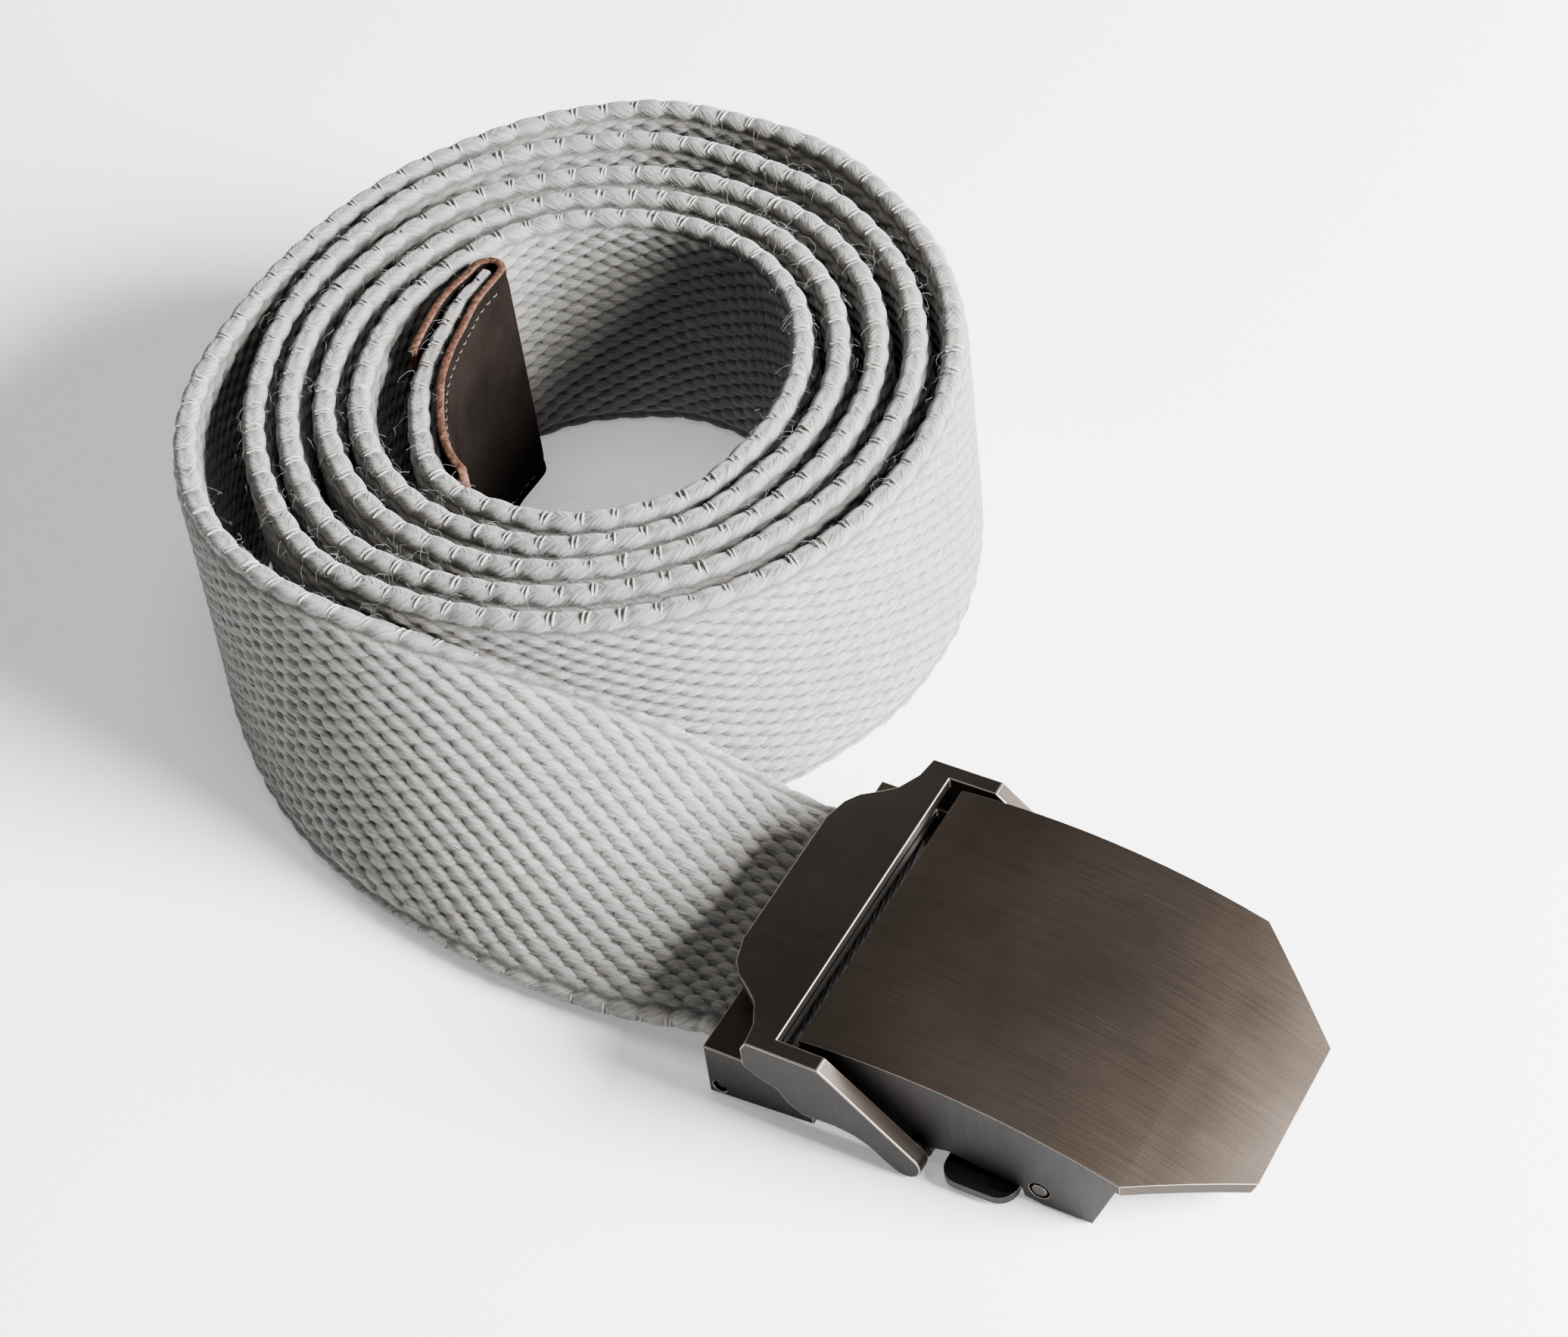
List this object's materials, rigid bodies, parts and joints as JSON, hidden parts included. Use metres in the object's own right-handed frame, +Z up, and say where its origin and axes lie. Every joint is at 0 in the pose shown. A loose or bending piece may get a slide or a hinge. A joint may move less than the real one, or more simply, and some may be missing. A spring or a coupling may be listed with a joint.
{
  "type": "webbing belt with hinged plate buckle",
  "caption": "Thick woven belt rolled on its edge, with a leather tip, its strap turning flat into a hinged metal plate buckle with a side release tab.",
  "frame": {"origin": "under the middle of the belt's box, on the surface that it lies on", "axes": "+X along the buckle towards its pointed tip, +Z up; the coil stands on its edge"},
  "size_m": [0.177, 0.1332, 0.0381],
  "materials": {
    "webbing": "thick off-white cotton webbing, coarse basket weave, rope-like edges",
    "leather": "dark brown, nearly black leather, fine grain, soft sheen",
    "raw_edge": "raw reddish brown cut edge of the leather",
    "stitching": "dark waxed thread",
    "gunmetal": "brushed dark bronze gunmetal, worn bright along its edges",
    "dark_steel": "darker satin steel"
  },
  "bodies": {
    "strap_side": {"webbing": "webbing", "tip_leather": "leather", "end_clamp": "gunmetal", "clamp_jaw": "dark_steel", "jaw_pin": "dark_steel", "keeper_frame": "gunmetal", "hinge_pin_near": "dark_steel", "hinge_pin_far": "dark_steel"},
    "plate_side": {"front_plate": "gunmetal", "lever_pin": "dark_steel"},
    "release": {"lock_lever": "dark_steel"}
  },
  "joints": [
    {"name": "plate_hinge", "type": "hinge", "parent": "strap_side", "child": "plate_side", "pos_m": [0.04915, -0.04186, 0.0025], "axis": [0, 1, 0], "range_deg": [0, 40]},
    {"name": "release_tab", "type": "hinge", "parent": "plate_side", "child": "release", "pos_m": [0.06545, -0.04186, 0.0029], "axis": [0, -1, 0], "range_deg": [0, 12], "stiffness_Nm_per_rad": 0.02, "springref_deg": -2.86}
  ]
}
